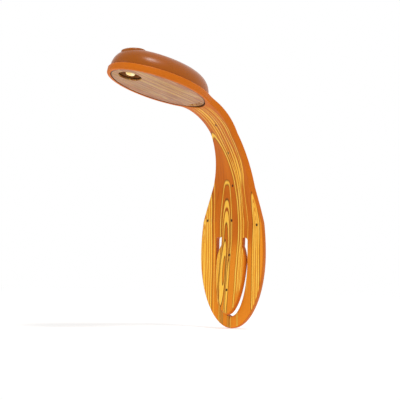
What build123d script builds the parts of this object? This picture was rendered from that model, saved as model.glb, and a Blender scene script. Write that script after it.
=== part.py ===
"""Clip-on book light: a flat bendable strip with a page clip below and a lit oval head above.

Millimetres and degrees. The origin is the middle of the strip at the page edge, where the
tongue leaves the clip. Z goes up the clip, X to its right, and -Y out of its printed face.
The arm is modelled in the bent and twisted shape that it was photographed in.
"""
from build123d import *
from math import asin, ceil, cos, degrees, exp, log, pi, radians, sqrt
import os

os.makedirs("parts", exist_ok=True)

# The strip that clip, arm and head rim share
strip_thickness = 3.6
edge_radius = 0.9
curve_step = 1.0
loft_step = 4.0

# Clip ring, seen flat
clip_width = 37.6
clip_drop = 46.0
widest_drop = 8.0
taper_length = 66.0
waist_width = 22.4
outline_step = 4.0

# Window in the ring and the tongue that springs out of it
window_top = 1.2
window_corner = 1.2
slot_gap = 0.7
window_edge_radius = 0.5
tongue_width = 17.2
tongue_tip_drop = 39.0
tongue_widest_drop = 12.0
tongue_shoulder_drop = 3.2
tongue_neck_width = 12.9
tongue_tilt = 7.2

# Arm: a flat root, then three stretches that bend towards the page and twist
flat_root = 9.0
lower_length = 18.7
lower_bend = 1.6
lower_twist = -17.5
middle_length = 28.6
middle_bend = 27.2
middle_twist = -11.5
upper_length = 27.3
upper_bend = 44.8
upper_twist = 11.4

# Places along the arm where it is bent or twisted by hand
flex_length = 8.0
twist_station = 31.0
middle_station = 45.0
upper_station = 64.0

# Shape-holding wires moulded inside the arm
wire_diameter = 1.3
wire_spacing = 12.0
wire_start = 3.0
wire_end_margin = 2.0

# Oval head
head_length = 58.8
head_width = 39.0
head_overlap = 8.0
neck_blend = 1.6
rim_wall = 1.9
rim_ledge = 1.0

# Battery cover on the lit side
panel_recess = 0.2
panel_thickness = 1.0
panel_gap = 0.2
panel_seat_gap = 0.1
panel_edge_radius = 0.25
nail_groove_width = 9.0
nail_groove_length = 2.2
nail_groove_depth = 0.6
nail_groove_margin = 2.6

# Domed cover on the back
dome_height = 10.6
dome_inset = 1.0
dome_wall = 1.2
dome_shoulder = 9.6
dome_foot_depth = 1.0
boss_diameter = 3.2
side_boss_margin = 4.9
side_boss_reach = 3.5
end_boss_margin = 3.4

# Push button and the switch below it
button_reach = 18.6
button_length = 13.6
button_width = 11.0
button_proud = 0.8
button_travel = 0.4
button_clearance = 0.3
button_wall = 1.0
button_flange = 0.5
button_flange_thickness = 0.4
button_flange_gap = 0.1
button_collar_wall = 0.8
button_collar_gap = 0.6
stem_diameter = 3.0
switch_size = 4.6
switch_height = 1.0
plunger_diameter = 2.0
plunger_clearance = 0.2
plunger_rise = 0.4
switch_floor = 0.1

# Light source
led_reach = 18.0
recess_diameter = 11.7
led_diameter = 5.0
led_flange_diameter = 5.6
led_flange_height = 0.8
led_height = 4.4
reflector_clearance = 0.15
reflector_wall = 0.5
reflector_top_gap = 0.2
led_top_radius = 1.0
led_clearance = 0.2

# Coin cells and their tray
cell_diameter = 20.0
cell_height = 1.6
cell_count = 2
cell_gap = 0.15
cell_edge_radius = 0.2
cup_clearance = 0.3
cup_wall = 1.0
cup_top_gap = 0.2
cup_screw_gap = 1.6
tray_floor = 0.6
tray_gap = 0.2
contact_thickness = 0.25
contact_width = 4.0
contact_pad_diameter = 9.0
contact_offset = 4.5
contact_tail_reach = 8.5
contact_slot_gap = 0.15
contact_pin_width = 1.0
leaf_gap = 0.05

# Circuit board and fasteners
board_thickness = 0.8
board_start = 6.7
board_gap = 1.0
resistor_length = 3.2
resistor_width = 1.6
resistor_height = 0.6
resistor_margin = 7.3
resistor_reach = 13.5
screw_diameter = 1.5
screw_length = 3.2
screw_head_diameter = 2.8
screw_head_height = 0.6
screw_hole_gap = 0.1

# Heights in the head, measured from the middle of the strip towards the lit side
half_strip = strip_thickness / 2
panel_top = half_strip - panel_recess
panel_seat = panel_top - panel_thickness
ledge_top = panel_seat - panel_seat_gap
cell_top = panel_seat - cell_gap
contact_top = cell_top - cell_count * cell_height
floor_top = contact_top - contact_thickness
floor_bottom = floor_top - tray_floor
board_back = floor_bottom - board_thickness
dome_top = -half_strip - dome_height
dome_ceiling = dome_top + dome_wall
switch_top = board_back - switch_height
plunger_top = switch_top - plunger_rise

# Places along the arm, measured from the page edge
lower_station = flat_root + flex_length / 2
arm_end = flat_root + lower_length + middle_length + upper_length
head_station = arm_end + head_length / 2 - head_overlap
wire_end = head_station - head_length / 2 + rim_wall - wire_end_margin

arm_stretches = [
    (lower_length, lower_bend, lower_twist),
    (middle_length, middle_bend, middle_twist),
    (upper_length, upper_bend, upper_twist),
]


def bent(place, length, bend, twist=0):
    """Follow the strip for a length over which it bends and twists evenly."""
    steps = ceil(abs(length) / curve_step)
    for _ in range(steps):
        half = Location((0, 0, length / steps / 2))
        turn = Location((0, 0, 0), (bend / steps, 0, twist / steps))
        place = place * half * turn * half
    return place


def arm_place(station):
    """Where the strip is at this distance from the page edge: Z up the arm, X to its right."""
    place = Location((0, 0, min(station, flat_root)))
    left = max(station - flat_root, 0)
    for length, bend, twist in arm_stretches:
        walked = min(left, length)
        place = bent(place, walked, bend * walked / length, twist * walked / length)
        left -= walked
    return place * Location((0, 0, left))


def tongue_place(drop):
    """Where the tongue is at this distance down from the top of the window."""
    bent_drop = window_top + tongue_shoulder_drop
    walked = min(drop, bent_drop)
    place = bent(Location((0, 0, window_top)), -walked, -tongue_tilt * walked / bent_drop)
    return place * Location((0, 0, walked - drop))


def printed_face(place):
    """Plane in the middle of the strip: X to the right, Y along it, Z out of the printed face."""
    return Plane(place * Location((0, 0, 0), (90, 0, 0)))


def half_width(station):
    """Half the strip's width: a long taper from the clip, eased into the head's oval."""
    share = min(max((station + widest_drop) / taper_length, 0), 1)
    arm = (waist_width + (clip_width - waist_width) * (1 + cos(pi * share)) / 2) / 2
    reach = (station - head_station) / (head_length / 2)
    oval = head_width / 2 * sqrt(max(1 - reach**2, 0))
    return neck_blend * log(exp(arm / neck_blend) + exp(oval / neck_blend))


def stations(start, end, step):
    """Evenly spaced places from start to end, no further apart than step."""
    count = max(2, ceil(abs(end - start) / step))
    return [start + (end - start) * index / count for index in range(count + 1)]


def save(part, name):
    """Label one finished piece and write it."""
    part.label = name
    export_step(part, f"parts/{name}.step")


# The two wires that hold the arm's shape, whole
with BuildPart() as wires:
    for side in (-1, 1):
        for station in stations(wire_start, wire_end, loft_step):
            with BuildSketch(Plane(arm_place(station))):
                with Locations((side * wire_spacing / 2, 0)):
                    Circle(wire_diameter / 2)
        loft()


def sleeve(start, end):
    """One stretch of the arm's soft sleeve, moulded round the wires."""
    with BuildPart() as stretch:
        for station in stations(start, end, loft_step):
            with BuildSketch(Plane(arm_place(station))):
                RectangleRounded(2 * half_width(station), strip_thickness, edge_radius)
        loft()
        add(wires.part, mode=Mode.SUBTRACT)
    return stretch.part


# Clip ring
window_half = tongue_width / 2 + slot_gap
window_length = tongue_tip_drop - tongue_widest_drop + slot_gap
window_drop = tongue_tip_drop + 2 * slot_gap

with BuildPart() as clip_ring:
    with BuildSketch(Plane.XZ):
        with BuildLine():
            side = [(half_width(z), z) for z in stations(flat_root, -widest_drop, outline_step)]
            root_slope = (half_width(flat_root - outline_step) - half_width(flat_root), -outline_step)
            Spline(side, tangents=[root_slope, (0, -1)])
            mirror(about=Plane.YZ)
            Line(side[0], (-side[0][0], side[0][1]))
            EllipticalCenterArc(
                (0, -widest_drop), side[-1][0], clip_drop - widest_drop, start_angle=180, arc_size=180
            )
        make_face()
    extrude(amount=half_strip, both=True)
    outline = clip_ring.edges().filter_by(lambda e: abs(e.center().Y) > half_strip - edge_radius / 2)
    fillet(outline.filter_by(lambda e: e.center().Z < flat_root - edge_radius), edge_radius)
    with BuildSketch(Plane.XZ):
        with Locations((0, -tongue_widest_drop)):
            Ellipse(window_half, window_length)
            Rectangle(
                2 * window_half, window_length, align=(Align.CENTER, Align.MAX), mode=Mode.INTERSECT
            )
            Rectangle(2 * window_half, window_top + tongue_widest_drop, align=(Align.CENTER, Align.MIN))
        fillet(vertices().group_by(Axis.Y)[-1], window_corner)
    extrude(amount=strip_thickness, both=True, mode=Mode.SUBTRACT)
    window_edges = clip_ring.edges().filter_by(lambda e: abs(e.center().Y) > half_strip - edge_radius / 2)
    window_edges = window_edges.filter_by(lambda e: abs(e.center().X) < window_half + slot_gap)
    window_edges = window_edges.filter_by(lambda e: -window_drop < e.center().Z < -slot_gap)
    fillet(window_edges, window_edge_radius)
    add(wires.part, mode=Mode.SUBTRACT)

save(clip_ring.part, "clip_ring")

# Tongue and the neck that it bends at
neck_end = window_top + tongue_shoulder_drop
tongue_body_length = tongue_tip_drop + window_top - neck_end
tongue_belly = tongue_widest_drop + window_top - neck_end

with BuildPart() as tongue_neck:
    for drop in stations(0, neck_end, neck_end / 4):
        with BuildSketch(Plane(tongue_place(drop))):
            RectangleRounded(tongue_neck_width, strip_thickness, edge_radius)
    loft()

save(tongue_neck.part, "tongue_neck")

with BuildPart() as tongue:
    with BuildSketch(printed_face(tongue_place(neck_end))):
        with BuildLine():
            Spline(
                (tongue_neck_width / 2, 0),
                (tongue_width / 2, -tongue_belly),
                tangents=[(1, -1), (0, -1)],
            )
            mirror(about=Plane.YZ)
            Line((tongue_neck_width / 2, 0), (-tongue_neck_width / 2, 0))
            EllipticalCenterArc(
                (0, -tongue_belly),
                tongue_width / 2,
                tongue_body_length - tongue_belly,
                start_angle=180,
                arc_size=180,
            )
        make_face()
    extrude(amount=half_strip, both=True)
    rims = tongue.faces().sort_by(SortBy.AREA)[-2:]
    fillet(rims.edges().filter_by(GeomType.LINE, reverse=True), edge_radius)

save(tongue.part, "tongue")

# Arm: soft stretches between stiffer ones, and the wires through them all
lower_flex_end = lower_station + flex_length / 2
twist_flex = (twist_station - flex_length / 2, twist_station + flex_length / 2)
middle_flex = (middle_station - flex_length / 2, middle_station + flex_length / 2)
upper_flex = (upper_station - flex_length / 2, upper_station + flex_length / 2)

save(sleeve(flat_root, lower_flex_end), "flex_lower")
save(sleeve(lower_flex_end, twist_flex[0]), "sleeve_lower")
save(sleeve(*twist_flex), "flex_twist")
save(sleeve(twist_flex[1], middle_flex[0]), "sleeve_middle")
save(sleeve(*middle_flex), "flex_middle")
save(sleeve(middle_flex[1], upper_flex[0]), "sleeve_upper")
save(sleeve(*upper_flex), "flex_upper")

rest_of_wires = wires.part
for name, station in (
    ("wires_clip", lower_station),
    ("wires_lower", twist_station),
    ("wires_middle", middle_station),
    ("wires_upper", upper_station),
):
    bend_plane = Plane(arm_place(station))
    with BuildPart() as stretch_of_wires:
        add(rest_of_wires)
        split(bisect_by=bend_plane, keep=Keep.BOTTOM)
    save(stretch_of_wires.part, name)
    with BuildPart() as wires_above:
        add(rest_of_wires)
        split(bisect_by=bend_plane, keep=Keep.TOP)
    rest_of_wires = wires_above.part

save(rest_of_wires, "wires_head")

# Head rim, with the last stretch of the arm
head = printed_face(arm_place(head_station))
head_axis = Axis(head.origin, head.z_dir)
rim_opening = (head_width / 2 - rim_wall - rim_ledge, head_length / 2 - rim_wall - rim_ledge)
panel_pocket = (head_width / 2 - rim_wall, head_length / 2 - rim_wall)
dome_oval = (head_width / 2 - dome_inset, head_length / 2 - dome_inset)
shoulder_reach = -head_length / 7
shoulder_angle = degrees(asin(-shoulder_reach / (head_length / 2)))
neck_reach = arm_end - head_station

with BuildPart() as head_rim:
    with BuildSketch(head):
        with BuildLine():
            shoulder = [
                (half_width(head_station + y), y) for y in stations(shoulder_reach, neck_reach, outline_step)
            ]
            Spline(shoulder)
            mirror(about=Plane.YZ)
            Line(shoulder[-1], (-shoulder[-1][0], shoulder[-1][1]))
            EllipticalCenterArc(
                (0, 0),
                shoulder[0][0] / cos(radians(shoulder_angle)),
                head_length / 2,
                start_angle=-shoulder_angle,
                arc_size=180 + 2 * shoulder_angle,
            )
        make_face()
    extrude(amount=half_strip, both=True)
    outline = head_rim.faces().sort_by(SortBy.AREA)[-2:].edges()
    fillet(outline.filter_by(lambda e: head.to_local_coords(e.center()).Y > neck_reach / 2), edge_radius)
    add(sleeve(upper_flex[1], arm_end))
    with BuildSketch(head):
        Ellipse(*rim_opening)
    extrude(amount=strip_thickness, both=True, mode=Mode.SUBTRACT)
    with BuildSketch(head.offset(ledge_top)):
        Ellipse(*panel_pocket)
    extrude(amount=strip_thickness, mode=Mode.SUBTRACT)
    add(wires.part, mode=Mode.SUBTRACT)

save(head_rim.part, "head_rim")

# Battery cover, held in the rim's rabbet on the lit side
with BuildPart() as battery_cover:
    with BuildSketch(head.offset(panel_seat)):
        Ellipse(panel_pocket[0] - panel_gap, panel_pocket[1] - panel_gap)
        with Locations((0, led_reach)):
            Circle(recess_diameter / 2, mode=Mode.SUBTRACT)
    extrude(amount=panel_thickness)
    fillet(battery_cover.faces().sort_by(head_axis)[-1].edges(), panel_edge_radius)
    with BuildSketch(head.offset(panel_top)):
        with Locations((0, nail_groove_margin - panel_pocket[1])):
            SlotOverall(nail_groove_width, nail_groove_length)
    extrude(amount=-nail_groove_depth, mode=Mode.SUBTRACT)

save(battery_cover.part, "battery_cover")

# Domed cover on the back, with its screw bosses and the collar that guides the button
flange_top = plunger_top - button_flange_gap - button_flange_thickness
dome_foot = dome_foot_depth - half_strip
side_boss_offset = dome_oval[0] - dome_wall - side_boss_margin
end_boss_reach = end_boss_margin + dome_wall - dome_oval[1]
bosses = [(-side_boss_offset, side_boss_reach), (side_boss_offset, side_boss_reach), (0, end_boss_reach)]
button_hole = (button_width / 2 + button_clearance, button_length / 2 + button_clearance)


def dome(growth):
    """The domed form, grown or shrunk evenly, down to its foot."""
    with BuildPart() as form:
        with BuildSketch(head.offset(dome_foot)):
            Ellipse(dome_oval[0] + growth, dome_oval[1] + growth)
        extrude(amount=dome_top - growth - dome_foot)
        fillet(form.faces().sort_by(head_axis)[0].edges(), dome_shoulder + growth)
    return form.part


with BuildPart() as cover_posts:
    with BuildSketch(head.offset(floor_bottom)):
        with Locations(*bosses):
            Circle(boss_diameter / 2)
    extrude(amount=dome_top - floor_bottom)
    with BuildSketch(head.offset(flange_top - button_collar_gap)):
        with Locations((0, button_reach)):
            Ellipse(button_hole[0] + button_collar_wall, button_hole[1] + button_collar_wall)
    extrude(amount=dome_top - flange_top + button_collar_gap)
    add(dome(0), mode=Mode.INTERSECT)

with BuildPart() as head_cover:
    add(dome(0))
    add(dome(-dome_wall), mode=Mode.SUBTRACT)
    add(head_rim.part, mode=Mode.SUBTRACT)
    add(cover_posts.part)
    with BuildSketch(head.offset(floor_bottom)):
        with Locations(*bosses):
            Circle(screw_diameter / 2)
    extrude(amount=tray_floor - screw_length, mode=Mode.SUBTRACT)
    with BuildSketch(head.offset(flange_top)):
        with Locations((0, button_reach)):
            Ellipse(*button_hole)
    extrude(amount=2 * (dome_top - flange_top), mode=Mode.SUBTRACT)

save(head_cover.part, "head_cover")

# Push button: a hollow cap that follows the dome, a flange that keeps it in, and a stem to the switch
with BuildPart() as button_hollow:
    with BuildSketch(head.offset(flange_top + button_flange_thickness)):
        with Locations((0, button_reach)):
            Ellipse(button_width / 2 - button_wall, button_length / 2 - button_wall)
    extrude(amount=dome_top - flange_top)
    add(dome(button_proud - button_wall), mode=Mode.INTERSECT)

with BuildPart() as push_button:
    with BuildSketch(head.offset(flange_top)):
        with Locations((0, button_reach)):
            Ellipse(button_width / 2, button_length / 2)
    extrude(amount=dome_top - button_proud - flange_top)
    add(dome(button_proud), mode=Mode.INTERSECT)
    with BuildSketch(head.offset(flange_top)):
        with Locations((0, button_reach)):
            Ellipse(button_width / 2 + button_flange, button_length / 2 + button_flange)
    extrude(amount=button_flange_thickness)
    add(button_hollow.part, mode=Mode.SUBTRACT)
    with BuildSketch(head.offset(plunger_top)):
        with Locations((0, button_reach)):
            Circle(stem_diameter / 2)
    extrude(amount=dome_top - plunger_top)

save(push_button.part, "push_button")

with BuildPart() as switch_plunger:
    with BuildSketch(head.offset(plunger_top)):
        with Locations((0, button_reach)):
            Circle(plunger_diameter / 2)
    extrude(amount=plunger_rise + switch_height - button_travel - 2 * switch_floor)

save(switch_plunger.part, "switch_plunger")

with BuildPart() as switch_body:
    with BuildSketch(head.offset(board_back)):
        with Locations((0, button_reach)):
            RectangleRounded(switch_size, switch_size, edge_radius / 2)
    extrude(amount=-switch_height)
    with BuildSketch(head.offset(board_back - switch_floor)):
        with Locations((0, button_reach)):
            Circle(plunger_diameter / 2 + plunger_clearance)
    extrude(amount=-switch_height, mode=Mode.SUBTRACT)

save(switch_body.part, "switch_body")

# Coin cells, stacked, as near the arm as the screw there lets their cup be
cup_radius = cell_diameter / 2 + cup_clearance
cell_reach = end_boss_reach + screw_head_diameter / 2 + cup_screw_gap + cup_wall + cup_radius

for index in range(cell_count):
    with BuildPart() as coin_cell:
        with BuildSketch(head.offset(contact_top + index * cell_height)):
            with Locations((0, cell_reach)):
                Circle(cell_diameter / 2)
        extrude(amount=cell_height)
        fillet(coin_cell.edges().filter_by(GeomType.CIRCLE), cell_edge_radius)
    save(coin_cell.part, f"coin_cell_{index + 1}")

# Contacts: a leaf against the side of the cells, and a pad that the stack rests on
leaf_radius = cell_diameter / 2 + leaf_gap
tail_length = contact_tail_reach - cell_reach
pin_reach = contact_tail_reach - contact_pin_width / 2

with BuildPart() as positive_contact:
    with BuildSketch(head.offset(floor_top)):
        with Locations((0, cell_reach)):
            Circle(cup_radius)
            Circle(leaf_radius, mode=Mode.SUBTRACT)
        with Locations((contact_offset, cell_reach)):
            Rectangle(contact_width, tail_length, align=(Align.CENTER, Align.MIN), mode=Mode.INTERSECT)
    extrude(amount=cell_count * cell_height)
    with BuildSketch(head.offset(floor_top)):
        with Locations((contact_offset, cell_reach)):
            Rectangle(contact_width, tail_length, align=(Align.CENTER, Align.MIN))
        with Locations((0, cell_reach)):
            Circle(leaf_radius, mode=Mode.SUBTRACT)
    extrude(amount=contact_thickness)
    with BuildSketch(head.offset(floor_top)):
        with Locations((contact_offset, pin_reach)):
            Rectangle(contact_pin_width, contact_pin_width)
    extrude(amount=-tray_floor)

save(positive_contact.part, "positive_contact")

with BuildPart() as negative_contact:
    with BuildSketch(head.offset(floor_top)):
        with Locations((0, cell_reach)):
            Circle(contact_pad_diameter / 2)
        with Locations((-contact_offset, cell_reach)):
            Rectangle(contact_width, tail_length, align=(Align.CENTER, Align.MIN))
    extrude(amount=contact_thickness)
    with BuildSketch(head.offset(floor_top)):
        with Locations((-contact_offset, pin_reach)):
            Rectangle(contact_pin_width, contact_pin_width)
    extrude(amount=-tray_floor)

save(negative_contact.part, "negative_contact")

# Tray: a floor under cells and lamp, with a cup round the cells
cup_height = panel_seat - cup_top_gap - floor_top
slot_width = contact_width + 2 * contact_slot_gap
pin_hole = contact_pin_width + 2 * contact_slot_gap

with BuildPart() as cell_tray:
    with BuildSketch(head.offset(floor_bottom)):
        Ellipse(rim_opening[0] - tray_gap, rim_opening[1] - tray_gap)
        with Locations((0, led_reach)):
            Circle(led_flange_diameter / 2 + led_clearance, mode=Mode.SUBTRACT)
        with Locations(*bosses):
            Circle(screw_diameter / 2 + screw_hole_gap, mode=Mode.SUBTRACT)
        with Locations((-contact_offset, pin_reach), (contact_offset, pin_reach)):
            Rectangle(pin_hole, pin_hole, mode=Mode.SUBTRACT)
    extrude(amount=tray_floor)
    with BuildSketch(head.offset(floor_top)):
        with Locations((0, cell_reach)):
            Circle(cup_radius + cup_wall)
            Circle(cup_radius, mode=Mode.SUBTRACT)
    extrude(amount=cup_height)
    with BuildSketch(head.offset(floor_top)):
        with Locations((-contact_offset, cell_reach), (contact_offset, cell_reach)):
            Rectangle(slot_width, tail_length, align=(Align.CENTER, Align.MIN))
    extrude(amount=contact_thickness + contact_slot_gap, mode=Mode.SUBTRACT)

save(cell_tray.part, "cell_tray")

# Screws that pull the tray against the bosses of the domed cover
with BuildPart() as tray_screws:
    with BuildSketch(head.offset(floor_top)):
        with Locations(*bosses):
            Circle(screw_head_diameter / 2)
    extrude(amount=screw_head_height)
    with BuildSketch(head.offset(floor_top)):
        with Locations(*bosses):
            Circle(screw_diameter / 2)
    extrude(amount=-screw_length)

save(tray_screws.part, "tray_screws")

# Circuit board on the back of the tray, with its resistor
board_oval = (dome_oval[0] - dome_wall - board_gap, dome_oval[1] - dome_wall - board_gap)

with BuildPart() as circuit_board:
    with BuildSketch(head.offset(floor_bottom)):
        Ellipse(*board_oval)
        with Locations((0, board_start)):
            Rectangle(head_width, head_length, align=(Align.CENTER, Align.MIN), mode=Mode.INTERSECT)
    extrude(amount=-board_thickness)

save(circuit_board.part, "circuit_board")

with BuildPart() as resistor:
    with BuildSketch(head.offset(board_back)):
        with Locations((resistor_margin - board_oval[0], resistor_reach)):
            Rectangle(resistor_width, resistor_length)
    extrude(amount=-resistor_height)

save(resistor.part, "resistor")

# Lamp and the dark cup round it
with BuildPart() as led:
    with BuildSketch(head.offset(floor_bottom)):
        with Locations((0, led_reach)):
            Circle(led_flange_diameter / 2)
    extrude(amount=led_flange_height)
    with BuildSketch(head.offset(floor_bottom)):
        with Locations((0, led_reach)):
            Circle(led_diameter / 2)
    extrude(amount=led_height)
    fillet(led.faces().sort_by(head_axis)[-1].edges(), led_top_radius)

save(led.part, "led")

reflector_radius = recess_diameter / 2 - reflector_clearance
reflector_top = panel_seat - reflector_top_gap

with BuildPart() as led_reflector:
    with BuildSketch(head.offset(floor_top)):
        with Locations((0, led_reach)):
            Circle(reflector_radius)
    extrude(amount=reflector_top - floor_top)
    with BuildSketch(head.offset(floor_top)):
        with Locations((0, led_reach)):
            Circle(led_flange_diameter / 2 + led_clearance)
    with BuildSketch(head.offset(reflector_top)):
        with Locations((0, led_reach)):
            Circle(reflector_radius - reflector_wall)
    loft(mode=Mode.SUBTRACT)

save(led_reflector.part, "led_reflector")
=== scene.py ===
# %% [markdown]
# A clip-on book light. Its body is one flat soft strip, printed with a wood grain on its front:
# wide at the clip, narrow at the waist, bent forward, and ending in an oval head.
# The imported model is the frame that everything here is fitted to, so it is loaded first, and the
# size of that model is kept, because the finished look may not change it.

# %% Load the frame
from math import asin, cos, pi, radians

import bmesh
import bpy
import numpy as np
from mathutils import Matrix, Vector


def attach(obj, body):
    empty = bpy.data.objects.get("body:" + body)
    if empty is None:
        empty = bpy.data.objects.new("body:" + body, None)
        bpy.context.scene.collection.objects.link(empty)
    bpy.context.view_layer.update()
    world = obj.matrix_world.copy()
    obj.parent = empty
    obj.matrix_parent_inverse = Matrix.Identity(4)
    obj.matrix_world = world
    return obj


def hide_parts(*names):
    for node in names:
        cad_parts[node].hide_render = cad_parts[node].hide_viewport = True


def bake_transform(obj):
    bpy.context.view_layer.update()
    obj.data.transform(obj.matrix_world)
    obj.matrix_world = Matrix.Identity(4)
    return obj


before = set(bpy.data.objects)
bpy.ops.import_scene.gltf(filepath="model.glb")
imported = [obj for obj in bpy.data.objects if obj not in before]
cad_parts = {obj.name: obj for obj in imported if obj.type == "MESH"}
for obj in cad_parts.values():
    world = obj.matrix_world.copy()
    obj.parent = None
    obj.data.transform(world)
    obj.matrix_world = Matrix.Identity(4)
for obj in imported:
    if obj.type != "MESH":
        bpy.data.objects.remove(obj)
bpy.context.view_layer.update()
scene = bpy.context.scene

# %% [markdown]
# The same driving sizes as the part's source, in millimetres and degrees. Blender works in
# metres, so every point is scaled once, where it enters a mesh.

# %% Driving sizes
MM = 0.001

strip_thickness = 3.6
edge_radius = 0.9
clip_width = 37.6
clip_drop = 46.0
widest_drop = 8.0
taper_length = 66.0
waist_width = 22.4
window_top = 1.2
window_corner = 1.2
slot_gap = 0.7
window_edge_radius = 0.5
tongue_width = 17.2
tongue_tip_drop = 39.0
tongue_widest_drop = 12.0
tongue_shoulder_drop = 3.2
tongue_neck_width = 12.9
tongue_tilt = 7.2
flat_root = 9.0
stretches = [(18.7, 1.6, -17.5), (28.6, 27.2, -11.5), (27.3, 44.8, 11.4)]  # length, bend, twist
lower_flex = (9.0, 17.0)
twist_flex = (27.0, 35.0)
middle_flex = (41.0, 49.0)
upper_flex = (60.0, 68.0)
head_length = 58.8
head_width = 39.0
head_overlap = 8.0
neck_blend = 1.6
rim_wall = 1.9
rim_ledge = 1.0

half_strip = strip_thickness / 2
arm_end = flat_root + sum(length for length, bend, twist in stretches)
head_station = arm_end + head_length / 2 - head_overlap
print("arm ends at", round(arm_end, 1), "mm and the head's middle is at", round(head_station, 1), "mm")

# %% [markdown]
# A bent strip could be modelled straight and bent with modifiers, or drawn point by point. Here
# its centre line is walked once in small steps, and each step turns a little frame of three
# directions: right, along and out of the printed face. Any point of the strip is then three
# numbers: across, along and height. The same numbers later place the print.

# %% The strip's centre line
STEP = 0.25


def turned(frame_now, bend, twist):
    """Turn a frame of columns (right, back, along) about its own right, then its own along."""
    b, t = radians(bend), radians(twist)
    about_right = np.array([[1, 0, 0], [0, np.cos(b), -np.sin(b)], [0, np.sin(b), np.cos(b)]])
    about_along = np.array([[np.cos(t), -np.sin(t), 0], [np.sin(t), np.cos(t), 0], [0, 0, 1]])
    return frame_now @ about_right @ about_along


def walked_line(start, steps):
    """Rows of (place, right, back, along) after each step of (distance, bend, twist)."""
    place, frame_now = np.array([0.0, 0.0, start]), np.eye(3)
    rows = [np.concatenate([place, frame_now.T.ravel()])]
    for distance, bend, twist in steps:
        place = place + frame_now[:, 2] * distance / 2
        frame_now = turned(frame_now, bend, twist)
        place = place + frame_now[:, 2] * distance / 2
        rows.append(np.concatenate([place, frame_now.T.ravel()]))
    return np.array(rows)


arm_steps = []
for length, bend, twist in stretches:
    count = round(length / STEP)
    arm_steps += [(length / count, bend / count, twist / count)] * count
arm_line = walked_line(flat_root, arm_steps)
arm_along = flat_root + np.concatenate([[0], np.cumsum([step[0] for step in arm_steps])])

neck_end = window_top + tongue_shoulder_drop
neck_count = round(neck_end / STEP)
neck_steps = [(-neck_end / neck_count, -tongue_tilt / neck_count, 0)] * neck_count
tongue_line = walked_line(window_top, neck_steps)
tongue_along = window_top - np.arange(neck_count + 1) * neck_end / neck_count
print("centre line:", len(arm_line), "arm places,", len(tongue_line), "tongue places")


# %% Points of the strip
def on_line(line, stations, across, along, height):
    """World point = place(along) + across * right + height * out, straight beyond both ends."""
    order = np.argsort(stations)
    clamped = np.clip(along, stations.min(), stations.max())
    rows = np.stack(
        [np.interp(clamped, stations[order], line[order, k]) for k in range(line.shape[1])], axis=-1
    )
    place, right, back, up = rows[..., 0:3], rows[..., 3:6], rows[..., 6:9], rows[..., 9:12]
    beyond = (along - clamped)[..., None]
    return (place + up * beyond + right * across[..., None] - back * height[..., None]) * MM


def on_arm(points):
    """Points given as (across, along, height) on clip, arm and head."""
    points = np.asarray(points, float)
    return on_line(arm_line, arm_along, points[..., 0], points[..., 1], points[..., 2])


def on_tongue(points):
    """Points given as (across, along, height) on the tongue."""
    points = np.asarray(points, float)
    return on_line(tongue_line, tongue_along, points[..., 0], points[..., 1], points[..., 2])


def on_head(points):
    """Points given in the flat head's own oval: across, from its middle towards the tip, height."""
    points = np.asarray(points, float)
    along = points[..., 1] + head_station
    return on_line(arm_line[-1:], arm_along[-1:], points[..., 0], along, points[..., 2])


def strip_along(flat_y, height):
    """Place along the strip, from the head's middle, that lies at this y of the flat head."""
    along = arm_along[arm_along > upper_flex[1]]
    strip = on_arm(np.stack([np.zeros_like(along), along, np.full_like(along, height)], axis=1))
    seen_y = (strip - on_head([0, 0, 0])) @ arm_line[-1, 9:12] / MM
    return np.where(flat_y < seen_y[-1], np.interp(flat_y, seen_y, along - head_station), flat_y)


def half_width(along):
    """A cosine taper from clip to waist, eased into the head's oval with a soft maximum."""
    share = np.clip((along + widest_drop) / taper_length, 0, 1)
    arm = (waist_width + (clip_width - waist_width) * (1 + np.cos(pi * share)) / 2) / 2
    reach = (along - head_station) / (head_length / 2)
    oval = head_width / 2 * np.sqrt(np.clip(1 - reach**2, 0, None))
    return neck_blend * np.log(np.exp(arm / neck_blend) + np.exp(oval / neck_blend))


print("head's middle, in metres:", on_head([0, 0, 0]).round(5).tolist())

# %% [markdown]
# The camera comes before the looks, so that every render can be laid beside the photograph. Its
# direction, distance and lens were found by fitting the outline. Its height is level with the
# clip, and it is rolled by one degree.

# %% Camera
camera_turn = radians(31.15)
camera_roll = radians(1.0)
camera_distance = 988.0
frame_side = 208.0
aim_right, aim_up = -17.4, 20.67
sensor_side = 36.0

towards = np.array([np.sin(camera_turn), -np.cos(camera_turn), 0])
level = np.array([np.cos(camera_turn), np.sin(camera_turn), 0])
upward = np.array([0, 0, 1.0])
right_of_view = level * np.cos(camera_roll) + upward * np.sin(camera_roll)
up_of_view = upward * np.cos(camera_roll) - level * np.sin(camera_roll)

camera_data = bpy.data.cameras.new("camera")
camera = bpy.data.objects.new("camera", camera_data)
scene.collection.objects.link(camera)
camera_data.sensor_width = camera_data.sensor_height = sensor_side
camera_data.lens = sensor_side * camera_distance / frame_side
eye = (right_of_view * aim_right + up_of_view * aim_up + towards * camera_distance) * MM
basis = np.stack([right_of_view, up_of_view, towards], axis=1)
placed = np.eye(4)
placed[:3, :3], placed[:3, 3] = basis, eye
camera.matrix_world = Matrix(placed.tolist())
camera_data.clip_start, camera_data.clip_end = 0.01, 20
scene.camera = camera
print("camera at", eye.round(3).tolist(), "lens", round(camera_data.lens, 1), "mm")

# %% [markdown]
# The world, the floor and every material are webs of shader nodes. Two helpers keep them short:
# one adds a node and fills its inputs in their order, and the other sets one input, either to a
# number or colour, or by a link from another node.

# %% Node helpers
def feed(socket, value):
    """Give an input a constant, or link another node's output to it."""
    value = getattr(value, "socket", value)
    if isinstance(value, bpy.types.Node):
        value = value.outputs[0]
    if isinstance(value, bpy.types.NodeSocket):
        socket.id_data.links.new(value, socket)
    elif value is not None:
        socket.default_value = value


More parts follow.
